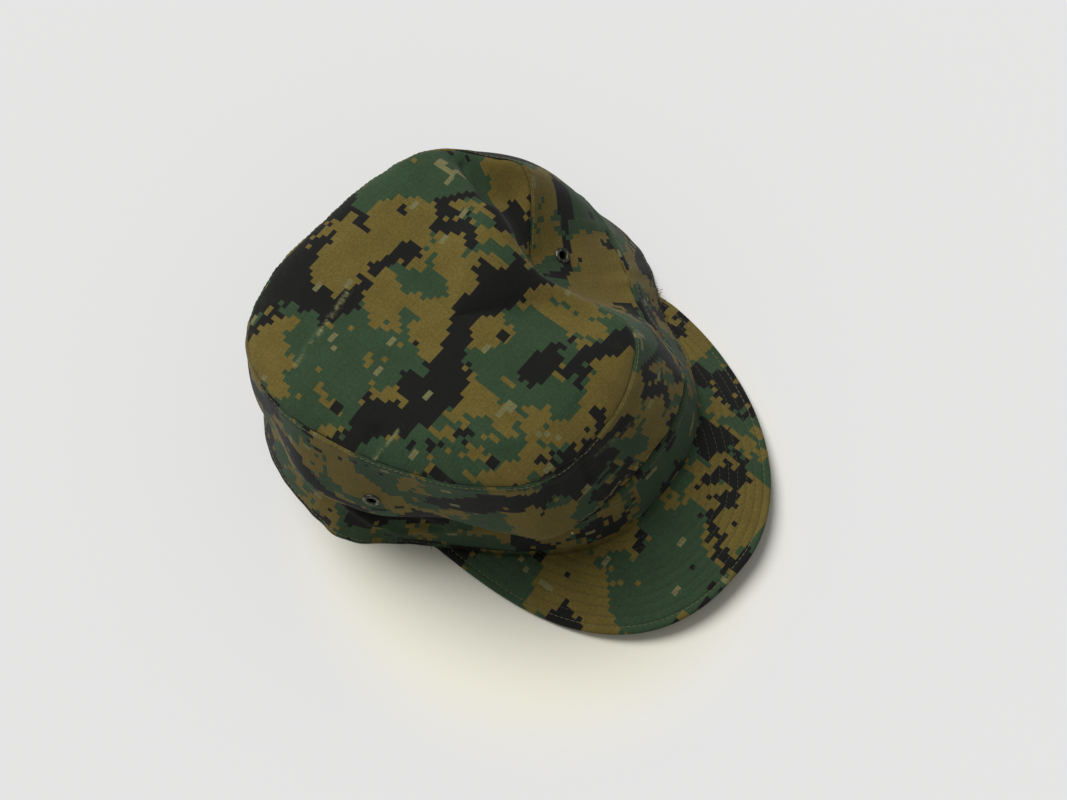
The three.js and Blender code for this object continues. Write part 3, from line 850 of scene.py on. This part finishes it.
EDGE_ROW = 3.4             # topstitching inside the rolled edge
VISOR_ROW_GAP = 4.1        # between two rows of stitching
VISOR_ROWS = 14
visor_in = distance_to(visor_grid, visor_outer)
visor_rows = [EDGE_ROW + VISOR_ROW_GAP * k for k in range(VISOR_ROWS)]
quilt = np.zeros_like(visor_in)
for row in visor_rows:
    quilt += relief(visor_in - row, VISOR_EDGE_RELIEF if row == EDGE_ROW else VISOR_ROW_RELIEF)
to_band = np.linalg.norm(visor_grid - visor_inner[:, None], axis=2)
quilt += relief(to_band - VISOR_SEWN_IN - VISOR_SEAM_PLACE, VISOR_SEAM_RELIEF)
roll = VISOR_THICKNESS / 2
edge_round = np.sqrt(np.clip(1 - (1 - np.clip(visor_in / roll, 0, 1)) ** 2, 0, 1))
visor_half = roll * edge_round * visor_taper[:, None]
visor_top = visor_grid + visor_normals * (visor_half + quilt * edge_round)[..., None]
visor_under = visor_grid - visor_normals * (visor_half + quilt * edge_round)[..., None]
visor_under[..., 2] = np.maximum(visor_under[..., 2], 0)
visor_cloth = visor_grid[..., :2] + VISOR_PLACE
visor = cloth_object("peak", visor_top, visor_under, visor_cloth, [printed], False)
dress(visor, "camouflage_cloth", "visor")

# Stitching

STITCH_PITCH = 2.5
STITCH_LENGTH = 2.3
VISOR_STITCH_PITCH = 2.2
VISOR_STITCH_LENGTH = 1.9
STITCH_RADIUS = 0.14
STITCH_SIDES = 6
STITCH_RINGS = 6
STITCH_FULLNESS = 1.15     # of 1 at the middle of a stitch, so that its ends are not points
STITCH_LEAST = 0.05
# Height of a stitch over the cloth, and how far its ends dive, shares of STITCH_RADIUS
STITCH_RISE = 0.35
STITCH_DIVE = 1.2
LEAST_ROW_POINTS = 3
RUN_GAP = 6                # mm, a longer step in a row of stitching is a break


def even_line(line, normals, pitch):
    """A line of points and normals cut into even steps."""
    length = lengths_round(line, False)
    count = max(2, int(length[-1] / pitch))
    wanted = (np.arange(count) + 0.5) * length[-1] / count
    return tuple(np.stack([np.interp(wanted, length, v[:, k]) for k in range(3)], -1)
                 for v in (line, normals, np.gradient(line, axis=0)))


def tube_faces(rings):
    """Faces between the rings of one thread."""
    number = np.arange(rings * STITCH_SIDES).reshape(rings, STITCH_SIDES)
    a, b = number[:-1], number[1:]
    return np.stack([a, np.roll(a, -1, 1), np.roll(b, -1, 1), b], -1).reshape(-1, 4)


def ring_round(side, up):
    """Unit circles of STITCH_SIDES points across threads."""
    angle = np.arange(STITCH_SIDES) * 2 * np.pi / STITCH_SIDES
    return (side[..., None, :] * np.cos(angle)[:, None] + up[..., None, :] * np.sin(angle)[:, None])


def stitch_parts(line, normals, pitch=STITCH_PITCH, length=STITCH_LENGTH):
    """Points and faces of a row of short threads that dive into the cloth at their ends."""
    middle, up, ahead = even_line(line, normals, pitch)
    up, ahead = unit(up), unit(ahead)
    side = unit(np.cross(up, ahead))
    t = np.linspace(-1, 1, STITCH_RINGS)
    thick = STITCH_RADIUS * np.sqrt(np.clip(STITCH_FULLNESS - t ** 2, STITCH_LEAST, 1))
    high = STITCH_RADIUS * (STITCH_RISE - STITCH_DIVE * t ** 4)
    centre = (middle[:, None] + ahead[:, None] * (t * length / 2)[None, :, None]
              + up[:, None] * high[None, :, None])
    ring = ring_round(side[:, None], up[:, None])
    points = centre[:, :, None] + ring * thick[None, :, None, None]
    first = np.arange(len(middle)) * STITCH_RINGS * STITCH_SIDES
    faces = tube_faces(STITCH_RINGS)
    return points.reshape(-1, 3), (faces[None] + first[:, None, None]).reshape(-1, 4)


def threads_object(name, parts, material):
    """One piece from the points and faces of many threads."""
    starts = np.cumsum([0] + [len(points) for points, _ in parts])
    points = np.concatenate([points for points, _ in parts])
    faces = np.concatenate([faces + start for (_, faces), start in zip(parts, starts)])
    return dress(mesh_object(name, points, faces, [material]), "camouflage_cloth")


def stitches(name, rows, material, **options):
    """One piece with all the rows of stitching of a seam."""
    parts = [stitch_parts(line, normals, **options) for line, normals in rows
             if len(line) >= LEAST_ROW_POINTS and lengths_round(line, False)[-1] >= 2 * STITCH_PITCH]
    return threads_object(name, parts, material)


def close_line(line):
    return np.concatenate([line, line[:1]])


def row_at(outer, normals, distance, value, closed):
    """The line on a cloth where a distance has one value, and the normals along it."""
    line, up = [], []
    for i in range(len(outer)):
        d = distance[i]
        order = np.argsort(d)
        if d[order[-1]] < value or d[order[0]] > value:
            continue
        line.append([np.interp(value, d[order], outer[i, order, k]) for k in range(3)])
        up.append([np.interp(value, d[order], normals[i, order, k]) for k in range(3)])
    line, up = np.array(line).reshape(-1, 3), np.array(up).reshape(-1, 3)
    return (close_line(line), close_line(up)) if closed else (line, up)


stitches("stitches_top_seam", [row_at(wall_outer, wall_normals, wall_down, SEAM_ROW, True)], thread)
stitches("stitches_band", [
    row_at(band_outer, band_normals, band_down, BAND_ROW, True),
    row_at(band_outer, band_normals, band_up, HEM_ROW, True),
], thread)


def split_runs(line, up):
    """Parts of a line between places where it jumps."""
    step = np.linalg.norm(np.diff(line, axis=0), axis=1)
    cuts = [0, *(np.nonzero(step > RUN_GAP)[0] + 1), len(line)]
    return [(line[a:b], up[a:b]) for a, b in zip(cuts[:-1], cuts[1:])]


def visor_runs(row):
    return split_runs(*row_at(visor_top, visor_normals, visor_in, row, False))


stitches("stitches_peak_edge", visor_runs(EDGE_ROW), thread)
stitches("stitches_peak", [run for row in visor_rows[1:] for run in visor_runs(row)], visor_thread,
         pitch=VISOR_STITCH_PITCH, length=VISOR_STITCH_LENGTH)


# Eyelets

SEAT_STEPS = 100           # up the side wall, to find an eyelet's seat
EYELET_STEPS = 48
EYELET_ARC_STEPS = 11
# How far a ring's edges stand off the wall, and its crowns in front and behind, mm
EYELET_STAND_OFF = 0.1
EYELET_FRONT_CROWN = 0.85
EYELET_BACK_CROWN = 0.4
EYELET_MIDDLE = (EYELET_RADIUS + EYELET_HOLE_RADIUS) / 2
EYELET_HALF = (EYELET_RADIUS - EYELET_HOLE_RADIUS) / 2
HOLE_REACH = 4             # how far along its axis a hole looks for cloth, mm


def wall_seat(turn, rise):
    """Middle, normal and upward direction of the side wall at an eyelet."""
    near = np.array([turn - 1.0, turn, turn + 1.0])
    curve = section_curve([ring_point(r, near) for r in ("tuck", "belly", "seam")], SEAT_STEPS)
    k = int(round(rise * SEAT_STEPS))
    up = unit(curve[1, k + 1] - curve[1, k - 1])
    normal = unit(np.cross(curve[2, k] - curve[0, k], up))
    return curve[1, k], normal, unit(np.cross(normal, np.cross(up, normal)))


def eyelet(name, turn, rise):
    """A rolled ring and its barrel, turned round the eyelet's axis."""
    middle, normal, up = wall_seat(turn, rise)
    side = np.cross(up, normal)
    face = WALL_THICKNESS / 2
    arc = np.linspace(0, np.pi, EYELET_ARC_STEPS)
    front = np.stack([EYELET_MIDDLE + EYELET_HALF * np.cos(arc),
                      face + EYELET_STAND_OFF + EYELET_FRONT_CROWN * np.sin(arc)], -1)
    back = np.stack([EYELET_MIDDLE - EYELET_HALF * np.cos(arc),
                     -face - EYELET_STAND_OFF - EYELET_BACK_CROWN * np.sin(arc)], -1)
    profile = np.concatenate([front, back])
    angle = np.arange(EYELET_STEPS) * 2 * np.pi / EYELET_STEPS
    radial = side * np.cos(angle)[:, None] + up * np.sin(angle)[:, None]
    points = (middle + radial[:, None] * profile[None, :, :1] + normal * profile[None, :, 1:])
    number = np.arange(EYELET_STEPS * len(profile)).reshape(EYELET_STEPS, len(profile))
    a, b = number, np.roll(number, -1, 0)
    faces = np.stack([a, b, np.roll(b, -1, 1), np.roll(a, -1, 1)], -1).reshape(-1, 4)
    obj = mesh_object(name + "_ring", points.reshape(-1, 3), faces, [blackened])
    return dress(obj, "eyelet_metal", name)


def cut_hole(obj, middle, normal, radius):
    """Opens a cloth where an eyelet goes through it."""
    centre, axis = Vector((middle + OUTLINE_SHIFT) * MM), Vector(normal)
    work = bmesh.new()
    work.from_mesh(obj.data)
    inside = []
    for face in work.faces:
        away = face.calc_center_median() - centre
        along = away.dot(axis)
        if abs(along) < HOLE_REACH * MM and (away - axis * along).length < radius * MM:
            inside.append(face)
    bmesh.ops.delete(work, geom=inside, context="FACES")
    work.to_mesh(obj.data)
    work.free()


for eyelet_name, seat in EYELETS.items():
    eyelet(eyelet_name, *seat)
    hole_middle, hole_normal, _ = wall_seat(*seat)
    cut_hole(wall, hole_middle, hole_normal, EYELET_MIDDLE)


# Loose thread ends at the peak's corners, and the bar tack at the front

ANY_DIRECTION = (0.31, 0.22, 0.92)     # along none of the threads


def thread_tube(line, radius):
    """Points and faces of a thread along a line."""
    ahead = unit(np.gradient(line, axis=0))
    side = unit(np.cross(ahead, ANY_DIRECTION))
    points = line[:, None] + ring_round(side, np.cross(side, ahead)) * radius
    return points.reshape(-1, 3), tube_faces(len(line))


FRAY_TURNS = {"frayed_left": 75, "frayed_right": -75}
FRAY_COUNT = 18
FRAY_SPREAD = 5.5          # degrees round the hem on each side
FRAY_LENGTH = (1.2, 4.2)
FRAY_RISE = 1.6            # least height of a thread's start, mm
FRAY_RISE_SPREAD = 1.5     # and how much higher it may start
FRAY_RADIUS = 0.11
FRAY_POINTS = 9
FRAY_SLANT = 0.9           # most that a thread leans along the hem
FRAY_TILT = (-0.1, 0.5)    # and up or down
FRAY_BEND = 1.8            # most bend at the end of the longest thread, mm
FRAY_BEND_UP = (-0.6, 0.8)
for fray_name, fray_turn in FRAY_TURNS.items():
    frays = []
    for _ in range(FRAY_COUNT):
        at = np.array([fray_turn + random.uniform(-1, 1) * FRAY_SPREAD])
        start = hem_point(at)[0] + (0, 0, FRAY_RISE + random.uniform(0, FRAY_RISE_SPREAD))
        out = unit(start * (1, 1, 0))
        along = np.cross((0, 0, 1), out) * random.uniform(-FRAY_SLANT, FRAY_SLANT)
        heading = unit(out + along + (0, 0, random.uniform(*FRAY_TILT)))
        bend = np.array([random.uniform(-1, 1), random.uniform(-1, 1), random.uniform(*FRAY_BEND_UP)])
        run = np.linspace(0, random.uniform(*FRAY_LENGTH), FRAY_POINTS)[:, None]
        line = start + heading * run + bend * (run / FRAY_LENGTH[1]) ** 2 * FRAY_BEND
        line[:, 2] = np.maximum(line[:, 2], FRAY_RADIUS)
        frays.append(thread_tube(line, FRAY_RADIUS))
    threads_object(fray_name, frays, dark_thread)

TACK_TURN = 329
TACK_RISE = 0.62           # share of the way up the band
TACK_LENGTH = 2.2
TACK_RADIUS = 0.2
TACK_HEIGHT = 0.15
TACK_SHIFTS = (-0.35, 0, 0.35)     # of its threads, side by side, mm
TACK_POINTS = 5
tack_column = int(TACK_TURN / 360 * TURN_STEPS)
tack_row = int(TACK_RISE * BAND_STEPS)
tack_middle = band_outer[tack_column, tack_row]
tack_normal = band_normals[tack_column, tack_row]
tack_up = unit(band_outer[tack_column, tack_row + 1] - band_outer[tack_column, tack_row - 1])
tack_side = np.cross(tack_up, tack_normal)
tack_run = np.linspace(-0.5, 0.5, TACK_POINTS)[:, None] * TACK_LENGTH
tacks = [thread_tube(tack_middle + tack_normal * TACK_HEIGHT + tack_side * shift + tack_up * tack_run,
                     TACK_RADIUS) for shift in TACK_SHIFTS]
threads_object("bar_tack", tacks, pale_thread)

# Floor, light and camera

PAPER = (0.79, 0.79, 0.795, 1)
PAINTED_WARM_LIGHT = (0.86, 0.842, 0.72, 1)
WARM_LIGHT_MIDDLE = (-0.030, -0.025, 0)     # painted warm light on the paper round this place, beside the cap, which also warms the cap's shadow
WARM_FULL = 80 * MM
WARM_END = 130 * MM
FLOOR_HALF = 3.0           # half of the floor's side, m
FLOOR_DROP = 0.05 * MM     # below the hem, so that the two don't share a plane
floor_material, floor_tree, floor_shader = new_material("pale_floor")
floor_shader.inputs["Roughness"].default_value = 0.9
floor_shader.inputs["Specular IOR Level"].default_value = 0.1
floor_place = add_node(floor_tree, "ShaderNodeTexCoord").outputs["Object"]
floor_away = vector_maths(floor_tree, "SUBTRACT", floor_place, WARM_LIGHT_MIDDLE)
floor_reach = add_node(floor_tree, "ShaderNodeVectorMath", {"operation": "LENGTH"}, i0=floor_away)
painted_warm_light_share = map_range(floor_tree, floor_reach.outputs["Value"], low=WARM_END, high=WARM_FULL,
                         smooth=True)
# Painted warm light: the paper is tinted warm round the cap, and this also warms the cap's shadow on it.
floor_tree.links.new(mix_colour(floor_tree, painted_warm_light_share, PAPER, PAINTED_WARM_LIGHT),
                     floor_shader.inputs["Base Color"])
floor_mesh = bpy.data.meshes.new("floor")
corners = [(-1, -1), (1, -1), (1, 1), (-1, 1)]
floor_mesh.from_pydata([(x * FLOOR_HALF, y * FLOOR_HALF, -FLOOR_DROP) for x, y in corners],
                       [], [(0, 1, 2, 3)])
floor_mesh.materials.append(floor_material)
floor = bpy.data.objects.new("floor", floor_mesh)
bpy.context.scene.collection.objects.link(floor)

SKY = (1.0, 0.99, 0.96, 1)
SKY_STRENGTH = 0.27
world = bpy.data.worlds.new("studio")
world.use_nodes = True
sky = world.node_tree.nodes["Background"]
sky.inputs["Color"].default_value = SKY
sky.inputs["Strength"].default_value = SKY_STRENGTH
bpy.context.scene.world = world


def placed(obj, axes):
    """Links an object whose axes, and then its place if given, are the columns of a matrix."""
    matrix = Matrix.Identity(4)
    for k, axis in enumerate(axes):
        for row in range(3):
            matrix[row][k] = axis[row]
    obj.matrix_world = matrix
    bpy.context.scene.collection.objects.link(obj)
    return obj


def sun(name, azimuth, elevation, strength, angle):
    """A soft light from far away. Azimuth 0 is behind the cap and 90 is on its left."""
    light = bpy.data.lights.new(name, "SUN")
    light.energy = strength
    light.angle = math.radians(angle)
    a, e = math.radians(azimuth), math.radians(elevation)
    direction = np.array([math.sin(a) * math.cos(e), math.cos(a) * math.cos(e), math.sin(e)])
    side = unit(np.cross((0, 0, 1), direction))
    placed(bpy.data.objects.new(name, light), (side, np.cross(direction, side), direction))


sun("key_light", azimuth=5, elevation=56, strength=2.75, angle=35)

VIEW_AZIMUTH = math.radians(-51)       # from the front, to the wearer's right
VIEW_ELEVATION = math.radians(70)
VIEW_TARGET = np.array([6.65, 9.04, 0.0]) * MM
VIEW_DISTANCE = 0.9
PICTURE_WIDTH = 1067               # pixels
MM_PER_PIXEL = 0.465               # at the target
VIEW_WIDTH = PICTURE_WIDTH * MM_PER_PIXEL * MM
SENSOR = 36.0
back = np.array([math.sin(VIEW_AZIMUTH) * math.cos(VIEW_ELEVATION),
                 -math.cos(VIEW_AZIMUTH) * math.cos(VIEW_ELEVATION), math.sin(VIEW_ELEVATION)])
right = np.array([math.cos(VIEW_AZIMUTH), math.sin(VIEW_AZIMUTH), 0.0])
camera_data = bpy.data.cameras.new("camera")
camera_data.sensor_width = SENSOR
camera_data.lens = SENSOR * VIEW_DISTANCE / VIEW_WIDTH
camera = placed(bpy.data.objects.new("camera", camera_data),
                (right, np.cross(back, right), back, VIEW_TARGET + back * VIEW_DISTANCE))
bpy.context.scene.camera = camera
bpy.context.scene.view_settings.view_transform = "Standard"
